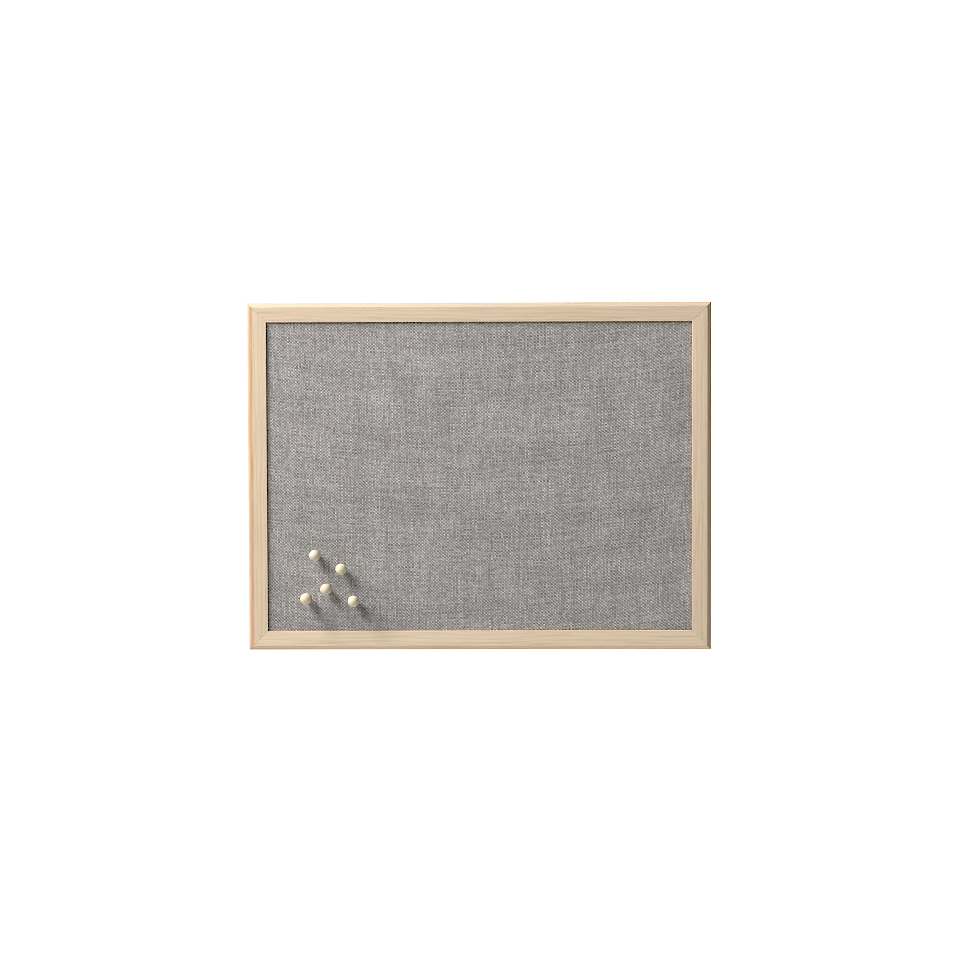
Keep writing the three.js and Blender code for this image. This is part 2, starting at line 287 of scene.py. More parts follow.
# a times b, plus c
def timesPlus(tree, a, b, c):
    return calc(tree, "MULTIPLY_ADD", a, b, c)


# x, y and z joined to a vector
def joinVector(tree, x, y, z=0.0):
    return addNode(tree, "ShaderNodeCombineXYZ", x, y, z).outputs[0]


# a vector's x, y and z
def splitVector(tree, vector):
    return addNode(tree, "ShaderNodeSeparateXYZ", vector).outputs[:]


# noise round 0.5; detail is its number of finer octaves, and roughness the weight of each against the last
def noise(tree, vector, scale=1.0, detail=2.0, roughness=0.5):
    node = tree.nodes.new("ShaderNodeTexNoise")
    feed(tree, node, Vector=vector, Scale=scale, Detail=detail, Roughness=roughness)
    return node.outputs[0]


# noise with its own scale along each axis, so that a small one draws it out
def drawnNoise(tree, vector, scales, detail=2.0, roughness=0.5):
    node = addNode(tree, "ShaderNodeVectorMath", vector, scales)
    node.operation = "MULTIPLY"
    return noise(tree, node.outputs[0], 1.0, detail, roughness)


# noise less its middle, times a size
def around(tree, given, size):
    return timesPlus(tree, given, size, -size / 2)


# a value moved from one range to another along a smooth step, or straight
def remap(tree, given, low, high, toLow=0.0, toHigh=1.0, smooth=True):
    node = addNode(tree, "ShaderNodeMapRange", given, low, high, toLow, toHigh)
    node.interpolation_type = "SMOOTHSTEP" if smooth else "LINEAR"
    return node.outputs[0]


# noise moved straight to a range of tones
def toneOf(tree, given, tones):
    return remap(tree, given, *noiseRange, *tones, smooth=False)


# two colours blended by a share; a plain colour is given without its alpha
def mixTint(tree, share, a, b, kind="MIX"):
    node = tree.nodes.new("ShaderNodeMix")
    node.data_type = "RGBA"
    node.blend_type = kind
    put(tree, node, 0, share)
    for key, colour in ((6, a), (7, b)):  # the node's two colours come after its values and vectors
        put(tree, node, key, (*colour, 1) if isinstance(colour, tuple) else colour)
    return node.outputs[2]


# a colour times a grey value
def shade(tree, colour, value):
    return mixTint(tree, 1.0, colour, joinVector(tree, value, value, value), "MULTIPLY")


# a normal that leans with the slope of a height; distance in metres
def bump(tree, height, strength, distance):
    node = tree.nodes.new("ShaderNodeBump")
    feed(tree, node, Strength=strength, Distance=distance, Height=height)
    return node.outputs[0]


# object coordinates in mm, turned to put the grain on the first axis and shifted to another part of it
def place(tree, turn=(0.0, 0.0, 0.0), shift=(0.0, 0.0, 0.0)):
    at, node = tree.nodes.new("ShaderNodeTexCoord"), tree.nodes.new("ShaderNodeMapping")
    angles = tuple(math.radians(d) for d in turn)
    scales = (1 / mm, 1 / mm, 1 / mm)
    feed(tree, node, Vector=at.outputs["Object"], Location=shift, Rotation=angles, Scale=scales)
    return node.outputs[0]


# an empty node group with its input sockets
def newGroup(name, **takes):
    tree = bpy.data.node_groups.new(name, "ShaderNodeTree")
    for label, kind in takes.items():
        tree.interface.new_socket(label, in_out="INPUT", socket_type=kind)
    return tree, tree.nodes.new("NodeGroupInput").outputs


# an output socket for each worked-out part, linked to it
def endGroup(tree, parts):
    for label in parts:
        tree.interface.new_socket(label, in_out="OUTPUT", socket_type="NodeSocketFloat")
    feed(tree, tree.nodes.new("NodeGroupOutput"), **parts)
    return tree


# a group placed in a material with its own inputs
def useGroup(tree, group, **given):
    node = tree.nodes.new("ShaderNodeGroup")
    node.node_tree = group
    feed(tree, node, **given)
    return node.outputs


# an empty material with its node tree and shader
def newMaterial(name):
    material = bpy.data.materials.new(name)
    material.use_nodes = True
    return material, material.node_tree, material.node_tree.nodes["Principled BSDF"]


# Wood

timber = {
    "centre": (31.0, 47.0),  # the tree's middle, beside the wood's own axis
    "bendScales": (0.009, 0.05, 0.05),
    "bend": 9.0,
    "tilt": 0.008,
    "lateWood": (0.35, 0.92),  # where a ring grows dark, in shares of its width
    "ringEnd": (1.0, 0.94),
    "streakScales": (0.017, 0.42, 0.42),
    "fibreScales": (0.1, 2.6, 2.6),
    "poreScales": (0.24, 3.4, 3.4),
    "poreRange": (0.66, 0.74),
    "ringHeight": 0.25,
    "fibreHeight": 0.5,
    "poreHeight": -0.8,
}


# growth rings are the distance from a far tree centre, bent by slow noise, taken as a saw wave;
# streaks, fibres and pores are noise drawn out along the grain
def timberGrain():
    tree, given = newGroup("timberGrain", Place="NodeSocketVector", Ring="NodeSocketFloat")
    at = given["Place"]
    x, y, z = splitVector(tree, at)
    bend = times(tree, drawnNoise(tree, at, timber["bendScales"]), timber["bend"])
    offY, offZ = plus(tree, y, timber["centre"][0]), plus(tree, z, timber["centre"][1])
    straight = calc(tree, "SQRT", timesPlus(tree, offY, offY, times(tree, offZ, offZ)))
    bent = plus(tree, straight, timesPlus(tree, x, timber["tilt"], bend))
    saw = calc(tree, "FRACT", calc(tree, "DIVIDE", bent, given["Ring"]))
    rings = times(tree, remap(tree, saw, *timber["lateWood"]), remap(tree, saw, *timber["ringEnd"]))
    streak = drawnNoise(tree, at, timber["streakScales"], detail=3.0, roughness=0.6)
    fibre = drawnNoise(tree, at, timber["fibreScales"], roughness=0.6)
    pore = remap(tree, drawnNoise(tree, at, timber["poreScales"], detail=1.0), *timber["poreRange"])
    low = timesPlus(tree, pore, timber["poreHeight"], times(tree, fibre, timber["fibreHeight"]))
    height = timesPlus(tree, rings, timber["ringHeight"], low)
    return endGroup(tree, {"Rings": rings, "Streak": streak, "Fibre": fibre, "Pore": pore, "Height": height})


grainGroup = timberGrain()


# a wood's light and deep tones mixed by its rings and streaks
def grainColour(tree, grain, wood):
    streaks = remap(tree, grain["Streak"], *wood["streakRange"])
    share = timesPlus(tree, grain["Rings"], wood["ringShare"], streaks)
    return mixTint(tree, share, wood["light"], wood["deep"])


# a range is from and to, and then the values there; a tone or roughness with two numbers is slope and start
railWood = {
    "light": (0.735, 0.592, 0.42),
    "deep": (0.60, 0.45, 0.30),
    "ring": 3.1,
    "ringShare": 0.32,
    "streakRange": (0.46, 0.72, 0.0, 0.55),
    "rose": (0.72, 0.53, 0.40),
    "roseRange": (0.42, 0.7),
    "patchScales": (0.011, 0.13, 0.13),
    "fibreTone": (0.16, 0.92),
    "poreTone": -0.14,
    # lighter colour at the eased edges: wear, and a painted highlight along the arrises
    "rubbedAndHighlit": (0.85, 0.77, 0.67),
    "rubbedAndHighlitRange": (0.35, 0.6, 0.0, 0.65),
    "heartTint": (0.47, 0.265, 0.135),
    "heartScales": (0.02, 0.0, 0.0),
    "heartWander": 2.4,
    "heartInset": 1.45,  # least distance of the streak's middle from the outer edge
    "heartWidth": 1.75,
    "roughness": (0.16, 0.48),
    "specular": 0.35,
    "relief": (0.35, 0.00012),
}


# one warm streak along the left edge: a bell curve of the distance from a line that wanders with the grain
def heartStreak(tree, at):
    fromEdge = plus(tree, splitVector(tree, place(tree))[0], boardHalf[0])
    wander = drawnNoise(tree, at, railWood["heartScales"])
    middle = timesPlus(tree, wander, railWood["heartWander"], railWood["heartInset"])
    off = calc(tree, "DIVIDE", minus(tree, fromEdge, middle), railWood["heartWidth"])
    return calc(tree, "EXPONENT", times(tree, times(tree, off, off), -1.0))


# pale wood: light and deep tones mixed by rings and streaks, a rosy tone in slow patches,
# darker pores, lighter edges that are worn and also a painted highlight along the arrises,
# and the warm streak where heart is above 0
def railMaterial(name, turn, shift, heart, warmth, level):
    material, tree, shader = newMaterial(name)
    at = place(tree, turn, shift)
    grain = useGroup(tree, grainGroup, Place=at, Ring=railWood["ring"])
    colour = grainColour(tree, grain, railWood)
    patches = drawnNoise(tree, at, railWood["patchScales"])
    rosy = remap(tree, patches, *railWood["roseRange"], 0.0, warmth)
    colour = mixTint(tree, rosy, colour, railWood["rose"])
    tone = timesPlus(tree, grain["Fibre"], *railWood["fibreTone"])
    tone = timesPlus(tree, grain["Pore"], railWood["poreTone"], tone)
    colour = shade(tree, colour, times(tree, tone, level))
    edge = tree.nodes.new("ShaderNodeAttribute")
    edge.attribute_name = "arris"
    # lighter edges: worn wood and a painted highlight along the arrises
    wearAndHighlight = times(tree, edge.outputs["Fac"], remap(tree, patches, *railWood["rubbedAndHighlitRange"]))
    colour = mixTint(tree, wearAndHighlight, colour, railWood["rubbedAndHighlit"])
    if heart:
        colour = mixTint(tree, times(tree, heartStreak(tree, at), heart), colour, railWood["heartTint"])
    feed(tree, shader, Base_Color=colour, Normal=bump(tree, grain["Height"], *railWood["relief"]),
         Roughness=timesPlus(tree, grain["Streak"], *railWood["roughness"]),
         Specular_IOR_Level=railWood["specular"])
    return material


# Frame rails

moulding = {
    "width": 16.5,
    "depth": 15.75,
    "back": 12.0,  # width behind the lip
    "lip": 2.4,
    "bevel": 3.2,
    "easing": [0.35, 0.35, 0.12, 0.15, 0.3, 0.5, 0.5],  # one for each corner of the outline
    # share of that lighter colour at each corner of the outline: wear and painted highlight
    "rubbedAndHighlit": [0.6, 0.6, 0.0, 0.7, 1.0, 0.6, 0.4],
    "steps": 9,
    "mitreGap": 0.1,
    "lengthCells": 60,
    "sharpAngle": 50.0,
}
nailSlot = {
    "wing": 5.2,
    "halfAngle": math.radians(35),
    "side": 0.5,  # half the slot's width
    "depth": 7.5,
    "beyond": 1.0,  # how far the cutter stands out behind the rail
    "rows": (6.0, 18.0),  # from the corner, as the sum of both sides' distances
}
rails = {
    "rail_top": {
        "along": (1, 0, 0), "outward": (0, 0, 1),
        "look": {"turn": (0, 0, 0), "shift": (13, 3, 8), "heart": 0.0, "warmth": 0.55, "level": 0.94}},
    "rail_bottom": {
        "along": (1, 0, 0), "outward": (0, 0, -1),
        "look": {"turn": (0, 0, 0), "shift": (830, 41, 19), "heart": 0.0, "warmth": 0.35, "level": 1.07}},
    "stile_left": {
        "along": (0, 0, 1), "outward": (-1, 0, 0),
        "look": {"turn": (0, 90, 0), "shift": (420, 77, 63), "heart": 0.95, "warmth": 0.4, "level": 0.98}},
    "stile_right": {
        "along": (0, 0, 1), "outward": (1, 0, 0),
        "look": {"turn": (0, 90, 0), "shift": (1510, 9, 110), "heart": 0.0, "warmth": 0.6, "level": 1.0}},
}


# (distance from the outer edge, height over the wall) of the section: back, rebate, lip, face and bevel
def mouldingOutline():
    width, depth, back = moulding["width"], moulding["depth"], moulding["back"]
    underLip, bevel = depth - moulding["lip"], moulding["bevel"]
    corners = [(0, 0), (back, 0), (back, underLip), (width, underLip), (width, depth), (bevel, depth),
               (0, depth - bevel)]
    return easedLoop(corners, moulding["easing"], moulding["steps"])


# the outline carried along a straight rail; each end is drawn back by its distance from the outer edge,
# which cuts the mitre
def railPoints(along, outward):
    inset, height = mouldingOutline().T
    share = np.linspace(-1, 1, moulding["lengthCells"] + 1)[:, None]
    run = share * (boardHalf @ np.abs(along) - inset - moulding["mitreGap"] / root2)
    away = boardHalf @ np.abs(outward) - inset
    points = run[..., None] * np.array(along, float) + away[None, :, None] * np.array(outward, float)
    return boardMiddle + points + height[None, :, None] * np.array([0.0, -1.0, 0.0])


# V shaped prisms pushed in from the back, two on each mitre at their distances from the corner, as one cutter
def nailCutter():
    half, side, wing = nailSlot["halfAngle"], nailSlot["side"], nailSlot["wing"]
    apex = side / math.sin(half)
    endX, endZ = wing * math.cos(half), wing * math.sin(half)
    offX, offZ = side * math.sin(half), side * math.cos(half)
    shape = np.array([(-apex, 0), (endX - offX, -endZ - offZ), (endX + offX, -endZ + offZ),
                      (apex, 0), (endX + offX, endZ - offZ), (endX - offX, endZ + offZ)])
    toBack, toFront = [0, nailSlot["beyond"], 0], [0, -nailSlot["depth"], 0]
    prisms = []
    for sx in (-1, 1):
        for sz in (-1, 1):
            corner = boardMiddle + boardHalf * [sx, 0, sz]
            inwards = np.array([-sx, 0.0, -sz]) / root2
            sideways = np.array([-inwards[2], 0.0, inwards[0]])
            for row in nailSlot["rows"]:
                flat = corner + (row / root2 + shape[:, :1]) * inwards + shape[:, 1:] * sideways
                prisms.append(np.concatenate([flat + toBack, flat + toFront]))
    count = 2 * len(shape)
    walls, ends = loftFaces(2, len(shape))
    if signedVolume(prisms[0] - prisms[0].mean(0), [walls, ends]) < 0:
        walls, ends = walls[:, ::-1], ends[:, ::-1]
    faceSets = [np.concatenate([faces + k * count for k in range(len(prisms))]) for faces in (walls, ends)]
    return makePiece("nailCutter", np.concatenate(prisms), faceSets, closed=False)


# cuts the cutter out of a piece, keeps the result as its mesh and marks its new edges sharp
def carve(piece, cutter, sharpAngle):
    modifier = piece.modifiers.new("slot", "BOOLEAN")
    modifier.operation = "DIFFERENCE"
    modifier.solver = "EXACT"
    modifier.object = cutter
    graph = bpy.context.evaluated_depsgraph_get()
    seen = piece.evaluated_get(graph)
    carved = bpy.data.meshes.new_from_object(seen, preserve_all_data_layers=True, depsgraph=graph)
    piece.modifiers.clear()
    piece.data = carved
    carved.name = piece.name
    carved.set_sharp_from_angle(angle=math.radians(sharpAngle))


# four rails of one moulding; the wear and painted highlight at each eased corner is a half sine over its
# curve
def makeRails():
    cutter = nailCutter()
    hump = np.sin(np.linspace(0, np.pi, moulding["steps"]))
    rubbedAndHighlit = np.outer(moulding["rubbedAndHighlit"], hump).ravel()
    for node, rail in rails.items():
        points = railPoints(rail["along"], rail["outward"])
        rows, cols = points.shape[:2]
        wearAndHighlight = {"arris": np.tile(rubbedAndHighlit, rows)}
        faces = loftFaces(rows, cols)
        piece = makePiece("wood_" + node, points, faces, moulding["sharpAngle"], wearAndHighlight)
        carve(piece, cutter, moulding["sharpAngle"])
        dress(piece, railMaterial(node + "_wood", **rail["look"]), "board", node)
    bpy.data.objects.remove(cutter)


makeRails()
print("rails made")


# Cloth

cloth = {
    "clearance": 0.6,  # to the rebate all round
    "underLip": 0.2,
    "edgeRound": 0.9,
    "roundSteps": 5,
    "sideDepth": 9.05,
    "hem": 14.0,
    "thickness": 0.5,
    "cell": 2.0,
    "lineGap": 0.35,
    "hole": 0.72,
    "lift": 0.1,
    "liftWidth": 6.0,
    "sharpAngle": 60.0,
    "warpPitch": 1.46,
    "weftPitch": 1.338,
    "bow": 4.26e-4,
    "bowMiddle": -11.5,
    "lean": 0.0185,
    "swayScale": 0.035,
    "sway": 1.1,  # in threads, as uneven is
    "unevenScales": (0.62, 0.05),
    "uneven": 0.55,
    "swell": 4.4,
    "sectionHeight": 0.58,
    "waveHeight": 0.42,
    "blend": 0.05,
    "light": (0.392, 0.377, 0.366),
    "dark": (0.281, 0.263, 0.252),
    "threadScales": (7.31, 0.03),
    "contrast": 0.5,  # share of the next thread's tone that is taken off
    "warpTone": (0.75, 1.25),
    "weftTone": (0.67, 1.33),
    # painted shade: darker where the weave is low, in its gaps and on the threads' rounded sides
    "paintedGapShadeRange": (0.1, 0.75, 0.7, 1.025),
    "cloudScale": 0.026,
    "bandScales": (0.065, 0.009),
    "cloudRange": (1.0, 2.0, 0.85, 1.15),
    "fuzzScale": 0.55,
    "fuzzTone": (0.84, 1.16),
    "crossingRange": (0.0, 1.0, 0.79, 1.21),
    "strandScales": (6.0, 0.5),
    "twist": 1 / 3.75,  # threads sideways for each mm along
    "strandTone": (0.86, 1.14),
    # painted light and shade slanted along one diagonal, as the yarn's twist catches the light
    "slant": 0.11,
    # painted warm bounce of light from the wood lip: its reach from the lip in mm, and its tint
    "paintedBounceReach": 1.1,
    "paintedBounceTint": (1.0, 0.82, 0.66),
    "strandRelief": 0.3,
    "relief": (0.5, 0.0003),
    "roughness": 0.92,
    "specular": 0.15,
    "sheen": 0.08,
    "sheenRoughness": 0.5,
}
pinHeads = sorted(name for name in nodes if name.endswith("_head"))
pinBoxes = np.array([inMm(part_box(name)) for name in pinHeads])
pinPlaces = pinBoxes.mean(1)[:, [0, 2]]  # across and up, at the middle of each head
pinFoot = pinBoxes[0, 1, 1]  # where the pins' feet stand
clothHalf = boardHalf[[0, 2]] - moulding["back"] - cloth["clearance"]
clothFront = moulding["lip"] + cloth["underLip"] - moulding["depth"]


# lines of the front grid: even cells, with a pair of lines at each needle so that its cell can be left open
def gridLines(half, places):
    even = np.linspace(-half, half, int(round(2 * half / cloth["cell"])) + 1)
    pairs = np.concatenate([places - cloth["hole"], places + cloth["hole"]])
    clear = np.min(np.abs(even[:, None] - pairs[None, :]), axis=1) > cloth["lineGap"]
    clear[0] = clear[-1] = True
    return np.sort(np.concatenate([even[clear], pairs]))


# steps of the border outwards and backwards: round the edge, down the side, round again and in as the hem
def rimSteps():
    r, side = cloth["edgeRound"], cloth["sideDepth"]
    turn = np.linspace(0, np.pi / 2, cloth["roundSteps"] + 1)[1:]
    outs = np.concatenate([r * np.sin(turn), [r], r * np.cos(turn), [r - cloth["hem"]]])
    backs = np.concatenate([r - r * np.cos(turn), [side - r], side - r + r * np.sin(turn), [side]])
    return outs, backs


# the front is a flat grid that lifts a little round each pin, as a bell curve of the distance; its border is
# carried over the rim's steps, and the flat cut's coordinates run on by the length of each step
def makeCloth():
    inner = clothHalf - cloth["edgeRound"]
    pins = pinPlaces - boardMiddle[[0, 2]]
    xs, zs = gridLines(inner[0], pins[:, 0]), gridLines(inner[1], pins[:, 1])
    gx, gz = np.meshgrid(xs, zs, indexing="ij")
    apart = (gx[..., None] - pins[:, 0]) ** 2 + (gz[..., None] - pins[:, 1]) ** 2
    lift = cloth["lift"] * np.exp(-apart / cloth["liftWidth"] ** 2).sum(-1)
    front = np.stack([gx, clothFront - lift, gz], -1).reshape(-1, 3)
    flat = np.stack([gx, gz], -1).reshape(-1, 2)
    rows, cols = gx.shape
    quads = gridQuads(rows, cols)
    centres = flat[quads].mean(1)
    onNeedle = (np.abs(centres[:, None, :] - pins[None]) < cloth["hole"]).all(-1).any(1)
    quads = quads[~onNeedle]
    index = np.arange(rows * cols).reshape(rows, cols)
    border = np.concatenate([index[:-1, 0], index[-1, :-1], index[:0:-1, -1], index[0, :0:-1]])
    edge = front[border]
    outX = np.where(np.isclose(np.abs(edge[:, 0]), inner[0]), np.sign(edge[:, 0]), 0)
    outZ = np.where(np.isclose(np.abs(edge[:, 2]), inner[1]), np.sign(edge[:, 2]), 0)
    outward = np.stack([outX, 0 * outX, outZ], -1)
    outs, backs = rimSteps()
    rim = edge[None] + outs[:, None, None] * outward + backs[:, None, None] * np.array([0.0, 1.0, 0.0])
    lengths = np.cumsum(np.hypot(np.diff(outs, prepend=0), np.diff(backs, prepend=0)))
    rimFlat = (flat[border][None] + lengths[:, None, None] * outward[None][..., [0, 2]]).reshape(-1, 2)
    count = len(border)
    k = np.arange(count)
    toRim = [border, border[(k + 1) % count], rows * cols + (k + 1) % count, rows * cols + k]
    rimQuads = rows * cols + gridQuads(len(outs), count, wrapCols=True)
    faceSets = [quads[:, ::-1], np.stack(toRim, -1), rimQuads[:, ::-1]]
    points = np.concatenate([front, rim.reshape(-1, 3)]) + boardMiddle
    flatCut = np.concatenate([flat, rimFlat])
    return makePiece("woven_cover", points, faceSets, cloth["sharpAngle"], flatCut=flatCut, closed=False)


# noise over a thread's own axes, across it and along it, with a seed for its set
def threadNoise(tree, across, along, scales, seed, detail=1.0):
    x, y = times(tree, across, scales[0]), times(tree, along, scales[1])
    return noise(tree, joinVector(tree, x, y, seed), detail=detail)


# plain weave: each thread's middle goes up and down as a cosine along the other set, a round section is
# added, and the higher of warp and weft shows; the warp leans a little and the weft is bowed as a parabola.
# Each thread has a tone that changes along it, each crossing a chance tone, the yarn's twist is a painted
# light and shade slanted along one diagonal, its strands are noise drawn out along the thread, and a painted
# warm bounce of light from the wood lip fades as an exponential from the lip
def plainWeave():
    tree, given = newGroup("plainWeave", Flat="NodeSocketVector")
    flat = given["Flat"]
    u, v, _ = splitVector(tree, flat)
    fromMiddle = minus(tree, u, cloth["bowMiddle"])
    bow = times(tree, times(tree, fromMiddle, fromMiddle), cloth["bow"])
    warpAt, weftAt = timesPlus(tree, v, cloth["lean"], u), minus(tree, v, bow)
    sets = ((warpAt, weftAt, cloth["warpPitch"], 3.0), (weftAt, warpAt, cloth["weftPitch"], 31.0))
    lines, clouds = [], [noise(tree, flat, cloth["cloudScale"], detail=3.0)]
    for run, side, pitch, seed in sets:
        sway = around(tree, noise(tree, joinVector(tree, u, v, seed), cloth["swayScale"]), cloth["sway"])
        uneven = threadNoise(tree, run, side, cloth["unevenScales"], seed + 4.0)
        swayed = plus(tree, calc(tree, "DIVIDE", run, pitch), sway)
        lines.append(plus(tree, swayed, around(tree, uneven, cloth["uneven"])))
        clouds.append(threadNoise(tree, run, side, cloth["bandScales"], seed + 8.0))
    heights, tones, numbers, strands = [], [], [], []
    for mine, other, seed, far, sense in ((*lines, 5.0, weftAt, 1.0), (*lines[::-1], 55.0, warpAt, -1.0)):
        number = calc(tree, "FLOOR", mine)
        off = minus(tree, minus(tree, mine, number), 0.5)
        swell = timesPlus(tree, times(tree, off, off), -cloth["swell"], 1.0)
        section = calc(tree, "SQRT", calc(tree, "MAXIMUM", swell, 0.0))
        sign = calc(tree, "COSINE", times(tree, number, math.pi))
        wave = calc(tree, "COSINE", times(tree, minus(tree, other, 0.5), math.pi))
        rise = times(tree, times(tree, sign, wave), cloth["waveHeight"] * sense)
        heights.append(timesPlus(tree, section, cloth["sectionHeight"], rise))
        own = threadNoise(tree, number, far, cloth["threadScales"], seed)
        beside = threadNoise(tree, plus(tree, number, 1.0), far, cloth["threadScales"], seed)
        tones.append(timesPlus(tree, beside, -cloth["contrast"], plus(tree, own, cloth["contrast"] / 2)))
        numbers.append(number)
        twisted = timesPlus(tree, far, cloth["twist"], mine)
        strands.append(threadNoise(tree, twisted, far, cloth["strandScales"], seed, detail=2.0))
    over = remap(tree, minus(tree, *heights), -cloth["blend"], cloth["blend"])
    opening = boardHalf[[0, 2]] - moulding["width"]
    toLip = [minus(tree, edge, calc(tree, "ABSOLUTE", at)) for at, edge in zip((u, v), opening)]
    fromLip = calc(tree, "ABSOLUTE", calc(tree, "MINIMUM", *toLip))
    chance = tree.nodes.new("ShaderNodeTexWhiteNoise")
    chance.noise_dimensions = "2D"
    tree.links.new(joinVector(tree, *numbers), chance.inputs["Vector"])
    return endGroup(tree, {
        "Over": over,
        "Height": calc(tree, "MAXIMUM", *heights),
        "Warp tone": tones[0],
        "Weft tone": tones[1],
        "Cloud": plus(tree, plus(tree, *clouds[:2]), clouds[2]),
        "Fuzz": noise(tree, flat, cloth["fuzzScale"], roughness=0.7),
        "Crossing": chance.outputs["Value"],
        # painted light and shade slanted along one diagonal
        "Slant": calc(tree, "COSINE", times(tree, plus(tree, *lines), math.pi)),
        "Strand": timesPlus(tree, over, minus(tree, *strands), strands[1]),
        # painted warm bounce of light from the wood lip, fading from the lip
        "Seam": calc(tree, "EXPONENT", calc(tree, "DIVIDE", fromLip, -cloth["paintedBounceReach"])),
    })


# light warp over darker weft, each thread with its own tone along its length, with painted shade in the gaps
# and on the threads' rounded sides, times the tones of clouds, fuzz, crossings, a painted slant of light and
# shade and strands, and a painted warm bounce of light along the lip
def clothMaterial():
    material, tree, shader = newMaterial("woven_cover_cloth")
    flat = tree.nodes.new("ShaderNodeUVMap")
    flat.uv_map = "flatCut"
    weave = useGroup(tree, plainWeave(), Flat=flat.outputs[0])
    light = shade(tree, cloth["light"], toneOf(tree, weave["Warp tone"], cloth["warpTone"]))
    dark = shade(tree, cloth["dark"], toneOf(tree, weave["Weft tone"], cloth["weftTone"]))
    colour = mixTint(tree, weave["Over"], dark, light)
    # painted shade, darker where the weave is low: in the gaps and on the threads' rounded sides
    tone = remap(tree, weave["Height"], *cloth["paintedGapShadeRange"])
    for more in (
            remap(tree, weave["Cloud"], *cloth["cloudRange"], smooth=False),
            toneOf(tree, weave["Fuzz"], cloth["fuzzTone"]),
            remap(tree, weave["Crossing"], *cloth["crossingRange"], smooth=False),
            # painted light and shade slanted along one diagonal for the yarn's twist
            timesPlus(tree, weave["Slant"], -cloth["slant"], 1.0),
            toneOf(tree, weave["Strand"], cloth["strandTone"])):
        tone = times(tree, tone, more)
    # painted warm bounce of light from the wood lip, fading out from the lip's edge
    colour = mixTint(tree, weave["Seam"], shade(tree, colour, tone), cloth["paintedBounceTint"], "MULTIPLY")
    relief = timesPlus(tree, weave["Strand"], cloth["strandRelief"], weave["Height"])
    feed(tree, shader, Base_Color=colour, Normal=bump(tree, relief, *cloth["relief"]),
         Roughness=cloth["roughness"], Specular_IOR_Level=cloth["specular"],
         Sheen_Weight=cloth["sheen"], Sheen_Roughness=cloth["sheenRoughness"])
    return material


cover = makeCloth()
thick = cover.modifiers.new("thickness", "SOLIDIFY")
thick.thickness = cloth["thickness"] * mm
thick.offset = -1.0
dress(cover, clothMaterial(), "board", "fabric_cover")
wrap = cloth["sideDepth"] + cloth["hem"]
flatArea = float(4 * (clothHalf.prod() + wrap * clothHalf.sum()) * mm * mm)  # without the four corners
print("cloth made")


# Push pins

pin = {
    "ball": 4.9,
    "height": 17.4,
    "under": math.radians(-53),  # where the ball ends and the neck begins
    "neckRadius": 2.5,
    "neckHeight": 4.8,
    "footRadius": 3.7,
    "footThickness": 1.3,
    "hole": 0.8,
    "socket": 7.25,
    "sides": 56,
    "ballSteps": 26,
    "curveSteps": 8,
    "footSteps": 9,
    "light": (0.715, 0.63, 0.475),
    "deep": (0.63, 0.525, 0.36),
    "tints": [(1.0, 0.99, 1.06), (1.02, 1.05, 1.02), (0.98, 0.95, 0.97), (1.03, 1.0, 0.96),
              (1.0, 1.02, 1.04)],
    "grainTurn": (0, 0, 90),
    "ring": 1.4,
    "ringShare": 0.4,
    "streakRange": (0.45, 0.75, 0.0, 0.4),
    "fibreTone": (0.12, 0.94),
    "roughness": (0.14, 0.48),
    "specular": 0.3,
    "relief": (0.2, 0.00008),
    "needleRadius": 0.55,
    "needleReach": 7.5,
    "needleSocket": 7.0,
    "needleTip": 2.2,
    "needlePull": 0.6,  # share of the tip's length at which its curve is pulled out
    "needleEase": 0.15,
    "needleSides": 20,
    "needleTipSteps": 7,
    "wireDull": (0.58, 0.59, 0.60),
    "wireBright": (0.72, 0.72, 0.72),
    "wireScales": (1.0, 9.0, 1.0),
    "wireRoughness": (0.2, 0.14),
}


# ball, drawn-in neck and round foot as arcs and quadratic curves, then up the drilled hole to its end
def pinProfile():
    neck, neckHeight, thickness = pin["neckRadius"], pin["neckHeight"], pin["footThickness"]
    ball = arc(0, pin["height"] - pin["ball"], pin["ball"], np.pi / 2, pin["under"], pin["ballSteps"])
    ball[0, 0] = 0
    edge = thickness / 2
    rim = pin["footRadius"] - edge
    between = (ball[-1, 1] + neckHeight) / 2
    upper = quadratic(ball[-1], (neck, between), (neck, neckHeight), pin["curveSteps"])
    lower = quadratic(upper[-1], (neck, thickness), (rim, thickness), pin["curveSteps"])
    foot = arc(rim, edge, edge, np.pi / 2, -np.pi / 2, pin["footSteps"])
    hole = np.array([(pin["hole"], 0), (pin["hole"], pin["socket"]), (0, pin["socket"])])
    return np.concatenate([ball, upper[1:], lower[1:], foot[1:], hole])


# a point drawn out as a quadratic curve, the straight wire, and an eased end inside the head
def needleProfile():
    r, tip, top = pin["needleRadius"], pin["needleTip"], pin["needleSocket"]
    end, ease = -pin["needleReach"], pin["needleEase"]
    point = quadratic((0, end), (r, end + tip * pin["needlePull"]), (r, end + tip), pin["needleTipSteps"])
    return np.concatenate([point, [(r, top - ease), (r - ease, top), (0, top)]])


# turned wood with its grain along the pin's axis: light and deep tones by rings and streaks, times its tint
def pinMaterial(name, tint):
    material, tree, shader = newMaterial(name)
    grain = useGroup(tree, grainGroup, Place=place(tree, pin["grainTurn"]), Ring=pin["ring"])
    colour = grainColour(tree, grain, pin)
    colour = shade(tree, colour, timesPlus(tree, grain["Fibre"], *pin["fibreTone"]))
    colour = mixTint(tree, 1.0, colour, tint, "MULTIPLY")
    feed(tree, shader, Base_Color=colour, Normal=bump(tree, grain["Height"], *pin["relief"]),
         Roughness=timesPlus(tree, grain["Fibre"], *pin["roughness"]), Specular_IOR_Level=pin["specular"])
    return material


